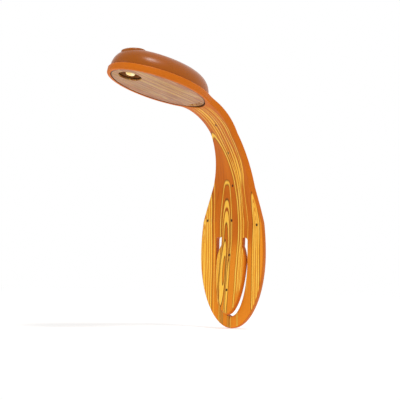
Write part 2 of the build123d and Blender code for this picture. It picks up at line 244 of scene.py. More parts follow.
def new_node(tree, kind, *values, **settings):
    """One shader node: settings are its properties, and values fill its inputs in their order."""
    node = tree.nodes.new("ShaderNode" + kind)
    for label, value in settings.items():
        setattr(node, label, value)
    for socket, value in zip(node.inputs, values):
        feed(socket, value)
    return node


def empty_tree(owner):
    """The node tree of a world or material, with nothing in it."""
    owner.use_nodes = True
    owner.node_tree.nodes.clear()
    return owner.node_tree


# %% [markdown]
# Floor and backdrop are one white sweep. The floor keeps the object's shadow near the clip, and
# fades to the backdrop's white further out, so that no horizon shows. The world is white to the
# camera and to reflections, while the light that it gives is plain and lower.

# %% World
scene.view_settings.view_transform = "Standard"
white = (1, 1, 1, 1)
daylight, daylight_strength = (1, 0.985, 0.965, 1), 0.45
scene.world = bpy.data.worlds.new("studio")
sky = empty_tree(scene.world)
rays = new_node(sky, "LightPath").outputs
either = new_node(sky, "Math", rays["Is Camera Ray"], rays["Is Transmission Ray"], operation="MAXIMUM")
any_of = new_node(sky, "Math", either, rays["Is Glossy Ray"], operation="MAXIMUM")
lighting = new_node(sky, "Background", daylight, daylight_strength)
backdrop = new_node(sky, "Background", white)
new_node(sky, "OutputWorld", new_node(sky, "MixShader", any_of, lighting, backdrop))
print("world nodes:", len(sky.nodes))

# %% Floor
floor_gap = 0.3
floor_height = -(clip_drop + floor_gap) * MM
floor_near, floor_far, floor_reach = 0.12, 0.42, 3.0
paper_colour, paper_glow = (0.78, 0.78, 0.78, 1), 0.5
floor_mesh = bpy.data.meshes.new("floor")
floor_corners = [(-1, -1), (1, -1), (1, 1), (-1, 1)]
floor_mesh.from_pydata(
    [(x * floor_reach, y * floor_reach, floor_height) for x, y in floor_corners], [], [(0, 1, 2, 3)]
)
floor = bpy.data.objects.new("floor", floor_mesh)
scene.collection.objects.link(floor)

floor_paint = bpy.data.materials.new("floor_paper")
paper = empty_tree(floor_paint)
matte = new_node(paper, "BsdfDiffuse", paper_colour)
glow = new_node(paper, "Emission", white, paper_glow)
place = new_node(paper, "TexCoord").outputs["Object"]
distance_out = new_node(paper, "VectorMath", place, (0, 0, floor_height), operation="DISTANCE")
fading = new_node(
    paper, "MapRange", distance_out.outputs["Value"], floor_near, floor_far,
    interpolation_type="SMOOTHSTEP",
)
lit_paper = new_node(paper, "AddShader", matte, glow)
swept = new_node(paper, "MixShader", fading, lit_paper, new_node(paper, "Emission", white))
new_node(paper, "OutputMaterial", swept)
floor_mesh.materials.append(floor_paint)
print("floor at", floor_height)


# %% [markdown]
# Three square lamps give plain studio light: a small one high above, a little in front, which
# makes the soft highlights and the shadow, and two large weak ones from the left and the front,
# which open up the shaded sides.

# %% Soft lamps
lamp_aim = 60.0


def soft_lamp(name, where, size, watts):
    """A square area lamp at a place given as (right, up, towards the camera), facing the middle."""
    lamp_data = bpy.data.lights.new(name, "AREA")
    lamp_data.size, lamp_data.energy = size, watts
    lamp = bpy.data.objects.new(name, lamp_data)
    scene.collection.objects.link(lamp)
    place = level * where[0] + upward * where[1] + towards * where[2]
    lamp.location = place.tolist()
    target = Vector(on_arm([0, lamp_aim, 0]).tolist())
    lamp.rotation_euler = (target - lamp.location).to_track_quat("-Z", "Y").to_euler()


soft_lamp("key_lamp", (0.27, 0.9, 0.27), 0.2, 4.0)
soft_lamp("left_lamp", (-0.8, 0.4, 0.5), 0.6, 1.6)
soft_lamp("front_lamp", (0.1, 0.1, 1.2), 0.8, 2.3)


# %% [markdown]
# Every skin is a grid of points: rows along the piece, columns round it. The helper closes the
# grid where it should close, caps its cut ends, merges the points of a pole, and turns the faces
# outward, which the sign of the enclosed volume shows.

# %% A closed mesh from a grid
SAME_POINT, NO_LENGTH = 2e-6, 1e-6


def link(mesh):
    """A new object in the scene for a mesh."""
    item = bpy.data.objects.new(mesh.name, mesh)
    scene.collection.objects.link(item)
    return item


def skin(name, points, ring=False, caps=False, print_place=None, printed=None, recess_shade=None, sharp=38):
    """Quads join neighbouring rows and columns; columns always close, rows close on a ring."""
    rows, columns = points.shape[:2]
    index = np.arange(rows * columns).reshape(rows, columns)
    index = np.concatenate([index, index[:, :1]], axis=1)
    if ring:
        index = np.concatenate([index, index[:1]], axis=0)
    quads = np.stack([index[:-1, :-1], index[:-1, 1:], index[1:, 1:], index[1:, :-1]], axis=-1)
    faces = quads.reshape(-1, 4).tolist()
    if caps:
        faces += [index[0, :-1][::-1].tolist(), index[-1, :-1].tolist()]
    flat = points.reshape(-1, 3)
    mesh = bpy.data.meshes.new(name)
    mesh.from_pydata(flat, [], faces)
    if print_place is not None:
        corners = np.zeros(len(mesh.loops), np.int32)
        mesh.loops.foreach_get("vertex_index", corners)
        layer = mesh.uv_layers.new(name="print_place")
        layer.data.foreach_set("uv", (print_place.reshape(-1, 2) * MM)[corners].astype(np.float32).ravel())
    for label, values in (("printed", printed), ("recess_shade", recess_shade)):
        if values is not None:
            share = mesh.attributes.new(label, "FLOAT", "POINT")
            share.data.foreach_set("value", values.reshape(-1).astype(np.float32))
    work = bmesh.new()
    work.from_mesh(mesh)
    bmesh.ops.remove_doubles(work, verts=work.verts, dist=SAME_POINT)
    bmesh.ops.dissolve_degenerate(work, edges=work.edges, dist=NO_LENGTH)
    open_edges = sum(1 for edge in work.edges if not edge.is_manifold)
    if work.calc_volume(signed=True) < 0:
        bmesh.ops.reverse_faces(work, faces=work.faces)
    work.to_mesh(mesh)
    work.free()
    mesh.shade_smooth()
    mesh.set_sharp_from_angle(angle=radians(sharp))
    print(name, "faces", len(mesh.polygons), "open edges", open_edges)
    return link(mesh)


# %% [markdown]
# A piece of the strip is a stack of rounded cross-sections. A further row lies very close to each
# end row, so that the shading there doesn't lean, and neighbouring pieces meet without a line.

# %% Points between and round edges
ARC_POINTS = 9
RIGHT, UP_STRIP = (1.0, 0.0), (0.0, 1.0)
quarter = np.linspace(0, pi / 2, ARC_POINTS)


def eased(count):
    """Shares from 0 to 1, closer together at both ends: (1 - cos) / 2."""
    return (1 - np.cos(np.linspace(0, pi, count))) / 2


def between(start, end, shares):
    """Points at these shares of the way from each start to its end."""
    return start[:, None] + (end - start)[:, None] * shares[None, :, None]


def raised(flat, height):
    """Flat points with a height, which may be one number, on their last axis."""
    return np.concatenate([flat, np.broadcast_to(height, flat.shape[:-1])[..., None]], axis=-1)


def facing(direction, count):
    """The same direction for every one of these points."""
    return np.tile(direction, (count, 1))


def round_edge(centre, out, radius):
    """A quarter arc: radius sin(turn) outward, and radius (1 - cos(turn)) down from the face."""
    flat = between(centre, centre + out * radius[:, None], np.sin(quarter))
    return flat, half_strip - radius[:, None] * (1 - np.cos(quarter))[None]


print("points of a quarter arc:", len(quarter))


# %% Cross-sections of the strip
FACE_POINTS = 41
print_margin, print_softness = 0.28, 0.22
end_row = 0.05


def section_loops(inner, inner_out, inner_radius, outer, outer_out, outer_radius, count=FACE_POINTS):
    """
    Closed loops between two flat curves: front face from inner to outer, the outer edge as a
    quarter arc, a side and a quarter arc, the back face, and the same round the inner edge.
    """
    start = inner + inner_out * inner_radius[:, None]
    end = outer - outer_out * outer_radius[:, None]
    outer_flat, outer_height = round_edge(end, outer_out, outer_radius)
    inner_flat, inner_height = round_edge(start, -inner_out, inner_radius)
    front = raised(between(start, end, eased(count))[:, 1:-1], half_strip)
    return np.concatenate(
        [
            front,
            raised(outer_flat, outer_height),
            raised(outer_flat, -outer_height)[:, ::-1],
            front[:, ::-1] * np.array([1, 1, -1]),
            raised(inner_flat, -inner_height),
            raised(inner_flat, inner_height)[:, ::-1],
        ],
        axis=1,
    )


def print_share(loops, fade_start=None, fade_end=None):
    """1 on the flat front, falling to 0 round the edge; optionally fading out along the strip."""
    share = np.clip((loops[..., 2] - (half_strip - print_margin)) / print_softness, 0, 1)
    if fade_start is not None:
        share = share * np.clip((fade_end - loops[..., 1]) / (fade_end - fade_start), 0, 1)
    return share


def stations_between(start, end, step):
    """Evenly spaced rows from start to end, with one more row close to each end."""
    count = max(2, int(np.ceil(abs(end - start) / step)))
    inside = np.linspace(start, end, count + 1)
    near = end_row * np.sign(end - start)
    return np.concatenate([inside[:1], [start + near], inside[1:-1], [end - near], inside[-1:]])


def strip_loops(along, half):
    """Cross-sections at right angles to the strip, each from its left edge to its right."""
    out = facing(RIGHT, len(along))
    radius = np.full(len(along), edge_radius)
    left, right = np.stack([-half, along], axis=1), np.stack([half, along], axis=1)
    return section_loops(left, out, radius, right, out, radius)


def strip_skin(name, loops, placed_on, **closing):
    """A printed piece of the strip, put in place by one of the functions above."""
    return skin(name, placed_on(loops), print_place=loops[..., :2], printed=print_share(loops), **closing)


print("points round one section:", strip_loops(np.array([9.0, 10.0]), np.array([17.0, 17.0])).shape[1])


# %% Arm skins
ROW_STEP = 0.5


def arm_skin(name, start, end):
    """One stretch of the arm between two stations."""
    along = stations_between(start, end, ROW_STEP)
    return strip_skin(name, strip_loops(along, half_width(along)), on_arm, caps=True)


def arm_point(along):
    """A point of the centre line, as a plain tuple."""
    return tuple(on_arm([0, along, 0]).tolist())


flex_lower_skin = arm_skin("flex_lower_skin", *lower_flex)
lower_arm_skin = arm_skin("lower_arm_skin", lower_flex[1], twist_flex[1])
middle_arm_skin = arm_skin("middle_arm_skin", twist_flex[1], middle_flex[1])
upper_arm_skin = arm_skin("upper_arm_skin", middle_flex[1], upper_flex[1])

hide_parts("flex_lower")
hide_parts("sleeve_lower", "flex_twist")
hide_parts("sleeve_middle", "flex_middle")
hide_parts("sleeve_upper", "flex_upper")
for piece, below, above, flex in (
    (flex_lower_skin, "clip", "arm_lower", lower_flex),
    (lower_arm_skin, "arm_lower", "arm_middle", twist_flex),
    (middle_arm_skin, "arm_middle", "arm_upper", middle_flex),
    (upper_arm_skin, "arm_upper", "head", upper_flex),
):
    arm_point(flex[0])
    arm_point(flex[1])
    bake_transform(piece)

# %% [markdown]
# The clip ring has a window in it, so its rows run round the window and its columns run out to
# the outline and back underneath. The cut at the top, where the arm goes on, has no rounding.

# %% Ovals, paths and cuts
def half_oval(centre_along, half_across, length, angles):
    """Points of an ellipse at these angles, and its outward direction there."""
    flat = np.stack([half_across * np.cos(angles), centre_along + length * np.sin(angles)], axis=1)
    out = np.stack([np.cos(angles) / half_across, np.sin(angles) / length], axis=1)
    return flat, out / np.linalg.norm(out, axis=1)[:, None]


def along_path(corners, count):
    """Points at even distances along a path of straight runs."""
    corners = np.asarray(corners, float)
    lengths = np.concatenate([[0], np.cumsum(np.linalg.norm(np.diff(corners, axis=0), axis=1))])
    at = np.linspace(0, lengths[-1], count)
    return np.stack([np.interp(at, lengths, corners[:, k]) for k in (0, 1)], axis=1)


def cut_line(reach, along, count):
    """Points from near this reach to the middle, along the straight cut."""
    return np.stack([np.linspace(1, 0, count + 1)[1:] * reach, np.full(count, along)], axis=1)


def both_sides(flat):
    """Right half from the bottom up, then the left half back down, without doubling the ends."""
    left = flat[::-1] * np.array([-1, 1]) if flat.ndim == 2 else flat[::-1]
    return np.concatenate([flat, left[1:-1]])


# %% Clip ring
window_half = tongue_width / 2 + slot_gap
window_length = tongue_tip_drop - tongue_widest_drop + slot_gap
LOW_ROWS, SIDE_ROWS, TOP_ROWS, RING_FACE_POINTS = 61, 36, 25, 25
WINDOW_EDGE_EASE = 0.3

below = np.linspace(-pi / 2, 0, LOW_ROWS)
low_outer, low_outer_out = half_oval(-widest_drop, clip_width / 2, clip_drop - widest_drop, below)
low_inner, low_inner_out = half_oval(-tongue_widest_drop, window_half, window_length, below)

side_along = np.linspace(-widest_drop, flat_root, SIDE_ROWS)
side_outer = np.stack([half_width(side_along), side_along], axis=1)
corner_in = window_corner * np.stack([1 - np.cos(quarter), 1 - np.sin(quarter)], axis=1)
corner = np.array([window_half, window_top]) - corner_in
side_inner = along_path([(window_half, -tongue_widest_drop), *corner], SIDE_ROWS)
cut_outer = cut_line(side_outer[-1, 0] - edge_radius, flat_root, TOP_ROWS)
cut_inner = cut_line(window_half - window_corner, window_top, TOP_ROWS)
upper_out = np.concatenate([facing(RIGHT, SIDE_ROWS - 1), facing(UP_STRIP, TOP_ROWS)])

right_outer = np.concatenate([low_outer, side_outer[1:], cut_outer])
right_inner = np.concatenate([low_inner, side_inner[1:], cut_inner])
outer_radius = np.concatenate([np.full(LOW_ROWS + SIDE_ROWS - 1, edge_radius), np.zeros(TOP_ROWS)])
fading_radius = np.linspace(1, 0, SIDE_ROWS - 1) ** WINDOW_EDGE_EASE * window_edge_radius
inner_radius = np.concatenate([np.full(LOW_ROWS, window_edge_radius), fading_radius, np.zeros(TOP_ROWS)])

right_inner_out = np.concatenate([low_inner_out, upper_out])
right_outer_out = np.concatenate([low_outer_out, upper_out])
ring_loops = section_loops(
    both_sides(right_inner), both_sides(right_inner_out), both_sides(inner_radius),
    both_sides(right_outer), both_sides(right_outer_out), both_sides(outer_radius),
    count=RING_FACE_POINTS,
)
ring_skin = strip_skin("clip_ring_skin", ring_loops, on_arm, ring=True)
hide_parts("clip_ring")
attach(ring_skin, "clip")

# %% [markdown]
# The tongue is cut from the same strip, so its print runs on from the clip. Its rows close to a
# point at the tip, where the rounding of the edge turns round with the outline.

# %% Tongue
belly_along = -tongue_widest_drop
shoulder_along = window_top - neck_end
shoulder_lead = 0.55
NECK_STEP, BELLY_STEP, TIP_ROWS = 0.3, 0.35, 60


def shoulder_half(along):
    """A smooth cubic from the neck's half width, which leaves it at a slant, to the belly's."""
    t = np.clip((shoulder_along - along) / (shoulder_along - belly_along), 0, 1)
    rise = (tongue_width - tongue_neck_width) / 2
    slope = (shoulder_along - belly_along) * shoulder_lead
    return tongue_neck_width / 2 + slope * (t - 2 * t**2 + t**3) + rise * (3 * t**2 - 2 * t**3)


neck_along = stations_between(window_top, shoulder_along, NECK_STEP)
neck_loops = strip_loops(neck_along, np.full(len(neck_along), tongue_neck_width / 2))
neck_skin = strip_skin("tongue_neck_skin", neck_loops, on_tongue, caps=True)

upper_along = stations_between(shoulder_along, belly_along, BELLY_STEP)
tip_angles = np.linspace(0, -pi / 2, TIP_ROWS)[1:]
tip_length = tongue_tip_drop - tongue_widest_drop
tip_flat, tip_out = half_oval(belly_along, tongue_width / 2, tip_length, tip_angles)
right_edge = np.concatenate([np.stack([shoulder_half(upper_along), upper_along], axis=1), tip_flat])
right_out = np.concatenate([facing(RIGHT, len(upper_along)), tip_out])
full_radius = np.full(len(right_edge), edge_radius)
tongue_loops = section_loops(
    right_edge * np.array([-1, 1]), right_out * np.array([1, -1]), full_radius,
    right_edge, right_out, full_radius,
)
tongue_skin = strip_skin("tongue_skin", tongue_loops, on_tongue, caps=True)
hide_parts("tongue_neck")
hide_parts("tongue")
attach(tongue_skin, "tongue")
tuple(on_tongue([0, window_top, 0]).tolist())
tuple(on_tongue([0, shoulder_along, 0]).tolist())
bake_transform(neck_skin)

# %% [markdown]
# The head is the end of the same strip, widened to an oval with a step cut into its front for the
# battery cover. It is drawn like the clip ring: rows run round the opening, and columns go over
# the rim, down its side, back underneath and up the wall of the opening. Near the arm the strip
# is still bent, while the step lies flat, so the step's points are placed on the flat head.

# %% Outline of the head
rim_edge_radius = 0.2
panel_recess = 0.2
panel_thickness = 1.0
panel_gap = 0.2
panel_seat_gap = 0.1
panel_top = half_strip - panel_recess
panel_seat = panel_top - panel_thickness
ledge_top = panel_seat - panel_seat_gap
rim_opening = (head_width / 2 - rim_wall - rim_ledge, head_length / 2 - rim_wall - rim_ledge)
panel_pocket = (head_width / 2 - rim_wall, head_length / 2 - rim_wall)

shoulder_reach = -head_length / 7  # the strip's own width takes over below this
shoulder_angle = asin(-shoulder_reach / (head_length / 2))
neck_reach = upper_flex[1] - head_station
neck_turn = -radians(60)
rim_print_fade = (74.5, 78.5)
NECK_ROWS, OVAL_ROWS, CUT_ROWS, LAND_POINTS = 60, 80, 26, 31

neck_y = np.linspace(neck_reach, shoulder_reach, NECK_ROWS)
neck_half = half_width(neck_y + head_station)
lean = np.gradient(neck_half, neck_y)
neck_out = np.stack([np.ones(NECK_ROWS), -lean], axis=1) / np.hypot(1, lean)[:, None]
oval_angles = np.linspace(-shoulder_angle, pi / 2, OVAL_ROWS)[1:]
oval_flat, oval_out = half_oval(0, neck_half[-1] / cos(shoulder_angle), head_length / 2, oval_angles)
cut_flat = cut_line(neck_half[0] - edge_radius, neck_reach, CUT_ROWS)

rim_outer = np.concatenate([cut_flat[::-1], np.stack([neck_half, neck_y], axis=1), oval_flat])
rim_outer_out = np.concatenate([-facing(UP_STRIP, CUT_ROWS), neck_out, oval_out])
rim_radius = np.concatenate([np.zeros(CUT_ROWS), np.full(NECK_ROWS + OVAL_ROWS - 1, edge_radius)])
rim_angles = np.concatenate(
    [np.linspace(-pi / 2, neck_turn, CUT_ROWS + 1)[:-1],
     np.linspace(neck_turn, -shoulder_angle, NECK_ROWS), oval_angles]
)
print("rows on the right half of the rim:", len(rim_outer))


# %% Head rim
def rim_section(angles, outer, outer_out, radius):
    """Closed loops: rim face, rounded outer edge, side, back, opening wall, ledge, pocket wall."""
    flat_pocket, pocket_out = half_oval(0, *panel_pocket, angles)
    flat_opening, _ = half_oval(0, *rim_opening, angles)
    pocket = np.stack([flat_pocket[:, 0], strip_along(flat_pocket[:, 1], half_strip)], axis=1)
    opening = np.stack([flat_opening[:, 0], strip_along(flat_opening[:, 1], -half_strip)], axis=1)
    land = eased(LAND_POINTS)
    start = pocket + pocket_out * rim_edge_radius
    end = outer - outer_out * radius[:, None]
    arc_flat, arc_height = round_edge(end, outer_out, radius)
    lip_flat = between(pocket, start, 1 - np.cos(quarter))
    return np.concatenate(
        [
            raised(between(start, end, land[:-1]), half_strip),
            raised(arc_flat, arc_height),
            raised(arc_flat, -arc_height)[:, ::-1],
            raised(between(opening, end, land[1:-1]), -half_strip)[:, ::-1],
            raised(opening[:, None], -half_strip),
            raised(flat_opening[:, None], ledge_top),
            raised(flat_pocket[:, None], ledge_top),
            raised(lip_flat, half_strip - rim_edge_radius * (1 - np.sin(quarter))),
        ],
        axis=1,
    )


rim_loops = rim_section(rim_angles, rim_outer, rim_outer_out, rim_radius)
left_loops = rim_loops[::-1] * np.array([-1, 1, 1])
rim_loops = np.concatenate([rim_loops, left_loops[1:-1]])
rim_print = rim_loops + np.array([0, head_station, 0])
rim_points = on_arm(rim_print)
ledge_columns = slice(-ARC_POINTS - 2, -ARC_POINTS)
rim_points[:, ledge_columns] = on_head(rim_loops[:, ledge_columns])
# Painted shade: the ledge and walls of the battery cover's pocket are marked, and the rim's material paints
# them dark brown.
rim_recess_shade = np.zeros(rim_points.shape[:2])
rim_recess_shade[:, -ARC_POINTS - 2:-ARC_POINTS + 3] = 1
rim_skin = skin(
    "head_rim_skin", rim_points, ring=True, print_place=rim_print[..., :2],
    printed=print_share(rim_print, *rim_print_fade), recess_shade=rim_recess_shade, sharp=40,
)
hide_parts("head_rim")
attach(rim_skin, "head")

# %% [markdown]
# The domed cover is a glossy shell. Its height at any point follows from the distance to its own
# outline: a round shoulder near the outline, and a slight crown over the rest, which keeps the
# reflections on it from looking like those of a flat sheet. The same rule, grown a little, later
# gives the top of the push button. Cells, tray, board and switch are stacked under the battery
# cover, and the stack says how deep the button's flange lies.

# %% The dome's rule
cell_gap, cell_height, cell_count = 0.15, 1.6, 2
contact_thickness, tray_floor, board_thickness = 0.25, 0.6, 0.8
switch_height, plunger_rise = 1.0, 0.4
floor_top = panel_seat - cell_gap - cell_count * cell_height - contact_thickness
floor_bottom = floor_top - tray_floor
plunger_top = floor_bottom - board_thickness - switch_height - plunger_rise

dome_height = 10.6
dome_inset = 1.0
dome_wall = 1.2
dome_shoulder = 9.6
dome_crown = 0.8
dome_foot_depth = 1.0
dome_foot = dome_foot_depth - half_strip
dome_top = -half_strip - dome_height
dome_oval = (head_width / 2 - dome_inset, head_length / 2 - dome_inset)
AROUND_POINTS, OUTLINE_STEPS = 240, 8
NOTHING = 1e-9
around = np.linspace(0, 2 * pi, AROUND_POINTS, endpoint=False)


def inward(flat, growth):
    """
    Distance from points to the outline x = a cos t, y = b sin t, grown a little. Each step
    turns the guess (cos t, sin t) towards the point, about the outline's centre of curvature.
    """
    semi = np.array(dome_oval) + growth
    point = np.abs(flat)
    guess = np.full_like(point, np.sqrt(0.5))
    for _ in range(OUTLINE_STEPS):
        centre = (semi**2 - semi[::-1] ** 2) / semi * guess**3
        radius = np.linalg.norm(semi * guess - centre, axis=-1, keepdims=True)
        away = np.linalg.norm(point - centre, axis=-1, keepdims=True)
        guess = np.clip(((point - centre) * radius / np.maximum(away, NOTHING) + centre) / semi, 0, 1)
        guess /= np.linalg.norm(guess, axis=-1, keepdims=True)
    return np.linalg.norm(semi * guess - point, axis=-1)


def dome_at(flat, growth=0.0):
    """
    Height = top + crown ((x/a)^2 + (y/b)^2) + R - sqrt(R^2 - p^2), with R the shoulder's radius
    and p the way into the shoulder.
    """
    shoulder = dome_shoulder + growth
    past = np.clip(shoulder - inward(flat, growth), 0, shoulder)
    crown = dome_crown * ((flat[..., 0] / dome_oval[0]) ** 2 + (flat[..., 1] / dome_oval[1]) ** 2)
    return dome_top - growth + crown + shoulder - np.sqrt(shoulder**2 - past**2)


print("dome height at the middle and near the tip:", dome_at(np.array([[0.0, 0.0], [0.0, 25.0]])).round(2))

# %% Domed cover
button_reach = 18.6
button_length, button_width = 13.6, 11.0
button_clearance = 0.3
button_flange_gap, button_flange_thickness = 0.1, 0.4
collar_wall, collar_gap = 0.8, 0.6
dome_lip = 0.25
flange_top = plunger_top - button_flange_gap - button_flange_thickness
collar_end = flange_top - collar_gap
SHELL_ROWS, LIP_ROWS = 72, 7


def shell_side(hole, outline, growth):
    """One side of the shell, from the hole over the shoulder, and straight down to the foot."""
    flat = between(hole, outline, np.sin(np.linspace(0, pi / 2, SHELL_ROWS)))
    return np.concatenate([raised(flat, dome_at(flat, growth)), raised(flat[:, -1:], dome_foot)], axis=1)


outer_outline, _ = half_oval(0, *dome_oval, around)
inner_outline, _ = half_oval(0, dome_oval[0] - dome_wall, dome_oval[1] - dome_wall, around)
hole, hole_out = half_oval(
    button_reach, button_width / 2 + button_clearance, button_length / 2 + button_clearance, around
)
collar, lip_end = hole + hole_out * collar_wall, hole + hole_out * dome_lip
lip_turn = np.linspace(0, pi / 2, LIP_ROWS)[:-1]
lip_flat = between(hole, lip_end, 1 - np.cos(lip_turn))
lip = raised(lip_flat, dome_at(lip_flat) + dome_lip * (1 - np.sin(lip_turn)))
collar_foot = np.stack([collar, hole], axis=1)
collar_foot = raised(collar_foot, np.maximum(collar_end, dome_at(collar_foot, -dome_wall)))
outside = shell_side(lip_end, outer_outline, 0.0)
inside = shell_side(collar, inner_outline, -dome_wall)
dome_skin = skin(
    "head_cover_shell",
    on_head(np.concatenate([lip, outside, inside[:, ::-1], collar_foot], axis=1)), ring=True, sharp=50,
)
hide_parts("head_cover")
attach(dome_skin, "head")

# %% [markdown]
# The push button is an oval cap that follows the dome, a little higher. It is a stack of ovals:
# over its top, down its side, out to the hidden flange that keeps it in the cover, and back to
# the middle.

# %% Push button
button_proud = 0.8
button_edge_radius = 0.6
button_flange = 0.5
CAP_ROWS = 14

cap_outline, cap_out = half_oval(0, button_width / 2, button_length / 2, around)


def cap_row(share, inset, depth=None, drop=0.0):
    """One oval: the outline moved inward and shrunk, on the grown dome or at a fixed depth."""
    flat = share * (cap_outline - cap_out * inset) + np.array([0, button_reach])
    return raised(flat, dome_at(flat, button_proud) + drop if depth is None else depth)


cap_rows = [cap_row(share, button_edge_radius) for share in np.linspace(0, 1, CAP_ROWS)]
cap_rows += [
    cap_row(1, button_edge_radius * (1 - np.sin(turn)), drop=button_edge_radius * (1 - np.cos(turn)))
    for turn in quarter[1:]
]
flange_back = flange_top + button_flange_thickness
cap_rows += [
    cap_row(1, 0, flange_top), cap_row(1, -button_flange, flange_top),
    cap_row(1, -button_flange, flange_back), cap_row(0, 0, flange_back),
]
button_skin = skin("push_button_cap", on_head(np.array(cap_rows)), sharp=45)
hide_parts("push_button")
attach(button_skin, "button")

# %% [markdown]
# The battery cover is a thin oval plate with a hole for the lamp and a nail groove near the arm.
# Its front is a fine grid, so that the groove can be pressed into it as a smooth dip.

# %% Nail groove
groove_width, groove_length, groove_depth = 9.0, 2.2, 0.6
groove_margin, groove_wall = 2.6, 0.45


def groove_dip(flat):
    """Depth of a bent slot: full depth on its middle line, easing to nothing at its outline."""
    bend_radius = panel_pocket[0] ** 2 / panel_pocket[1]
    middle = groove_margin - panel_pocket[1] + flat[..., 0] ** 2 / (2 * bend_radius)
    past = np.clip(np.abs(flat[..., 0]) - (groove_width - groove_length) / 2, 0, None)
    away = np.hypot(past, flat[..., 1] - middle) / (groove_length / 2)
    ease = np.clip((1 - away) / groove_wall, 0, 1)
    return groove_depth * ease * ease * (3 - 2 * ease)


groove_middle = np.array([[0.0, groove_margin - panel_pocket[1]]])
print("groove's depth on its middle line:", groove_dip(groove_middle).round(2))

# %% Battery cover
led_reach = 18.0
recess_diameter = 11.7
panel_edge_radius = 0.25
plate_print_margin, plate_print_softness = 0.3, 0.25
PLATE_COLUMNS, PLATE_ROWS, PLATE_EDGE_ROWS = 300, 150, 6

plate_angles = np.linspace(0, 2 * pi, PLATE_COLUMNS, endpoint=False)
plate_hole, plate_hole_out = half_oval(led_reach, recess_diameter / 2, recess_diameter / 2, plate_angles)
plate_edge, plate_edge_out = half_oval(
    0, panel_pocket[0] - panel_gap, panel_pocket[1] - panel_gap, plate_angles
)
plate_turn = np.linspace(0, pi / 2, PLATE_EDGE_ROWS)
inner_start = plate_hole + plate_hole_out * panel_edge_radius
outer_end = plate_edge - plate_edge_out * panel_edge_radius
in_flat = between(plate_hole, inner_start, 1 - np.cos(plate_turn[:-1]))
run_flat = between(inner_start, outer_end, np.linspace(0, 1, PLATE_ROWS))
rim_flat = between(outer_end, plate_edge, np.sin(plate_turn[1:]))
plate_loops = np.concatenate(
    [
        raised(in_flat, panel_top - panel_edge_radius * (1 - np.sin(plate_turn[:-1]))),
        raised(run_flat, panel_top - groove_dip(run_flat)),
        raised(rim_flat, panel_top - panel_edge_radius * (1 - np.cos(plate_turn[1:]))),
        raised(np.stack([plate_edge, plate_hole], axis=1), panel_seat),
    ],
    axis=1,
)
plate_flat = plate_loops[..., :2]
# Painted shade: the print stops a little inside the plate's outline and is off on its sides and the lamp
# hole's wall, where the material paints a dark brown border for the shade in the gaps.
plate_inward = inward(plate_flat, dome_inset - rim_wall - panel_gap)
plate_share = np.clip((plate_inward - plate_print_margin) / plate_print_softness, 0, 1)
plate_share[:, -2:] = 0
plate_skin = skin(
    "battery_cover_plate", on_head(plate_loops), ring=True,
    print_place=plate_flat + np.array([0, head_station]), printed=plate_share, sharp=50,
)
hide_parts("battery_cover")
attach(plate_skin, "battery_cover")

# %% [markdown]
# The lamp sits at the bottom of a dark cup. Both are turned profiles: a radius and a height for
# each row, carried round the lamp's own axis.

# %% Lamp
led_radius, led_flange_radius = 2.5, 2.8
led_height, led_flange_height, led_top_radius = 4.4, 0.8, 1.0
TURNED_COLUMNS, LENS_TOP_ROWS, LENS_ROWS = 96, 6, 10


def turned_piece(name, radii, heights):
    """A profile of (radius, height) carried round the lamp's axis."""
    angles = np.linspace(0, 2 * pi, TURNED_COLUMNS, endpoint=False)
    circle = np.stack([np.cos(angles), np.sin(angles)], axis=1)
    flat = np.asarray(radii, float)[:, None, None] * circle[None] + np.array([0, led_reach])
    return skin(name, on_head(raised(flat, np.asarray(heights, float)[:, None])), sharp=40)


lens_turn = np.linspace(0, pi / 2, LENS_ROWS)
led_top = floor_bottom + led_height
flange_front = floor_bottom + led_flange_height
lens_radii = led_radius - led_top_radius * (1 - np.sin(lens_turn))
lens_heights = led_top - led_top_radius * (1 - np.cos(lens_turn))
inner_dome = np.linspace(0, led_radius - led_top_radius, LENS_TOP_ROWS)[:-1]
led_skin = turned_piece(
    "led_lamp",
    [*inner_dome, *lens_radii, led_radius, led_flange_radius, led_flange_radius, 0],
    [*np.full(len(inner_dome), led_top), *lens_heights,
     flange_front, flange_front, floor_bottom, floor_bottom],
)
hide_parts("led")
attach(led_skin, "head")

# %% Cup
cup_top_gap, cup_clearance, led_clearance = 0.2, 0.15, 0.2
cup_wall_thickness, cup_bevel, cup_bend = 0.5, 0.15, 0.8
cup_top = panel_seat - cup_top_gap
cup_radius = recess_diameter / 2 - cup_clearance
cup_floor_radius = led_flange_radius + led_clearance
CONE_ROWS = 12

cone = np.linspace(0, 1, CONE_ROWS)
cone_radii = cup_floor_radius + (cup_radius - cup_wall_thickness - cup_floor_radius) * cone**cup_bend
cone_heights = floor_top + (cup_top - floor_top) * cone
cup_skin = turned_piece(
    "led_cup",
    [*cone_radii, cup_radius - cup_bevel, cup_radius, cup_radius, cup_floor_radius],
    [*cone_heights, cup_top, cup_top - cup_bevel, floor_top, floor_top],
)
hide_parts("led_reflector")
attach(cup_skin, "head")

# %% [markdown]
# Colours are read off the photograph as ordinary 0 to 255 values. A shader works with
# linear light, so each one is converted.

# %% Colours
def colour(red, green, blue):
    """Linear RGBA: each channel is undone from its display curve."""
    part = np.array([red, green, blue]) / 255
    linear = np.where(part <= 0.04045, part / 12.92, ((part + 0.055) / 1.055) ** 2.4)
    return (*linear.tolist(), 1.0)


WOOD = colour(200, 104, 6)
WOOD_DARK = colour(172, 80, 2)
YELLOW = colour(248, 184, 56)
PALE_YELLOW = colour(253, 206, 88)
OLIVE = colour(124, 66, 2)
ORANGE = colour(216, 120, 10)
BRIGHT_ORANGE = colour(234, 144, 28)
PORE = colour(50, 22, 4)
MOULDED = colour(202, 105, 10)
# Painted shade for the battery cover's recess in the rim.
PAINTED_RECESS_SHADE = colour(96, 50, 14)
DOME_BROWN = colour(156, 80, 0)
BUTTON_BROWN = colour(158, 84, 8)
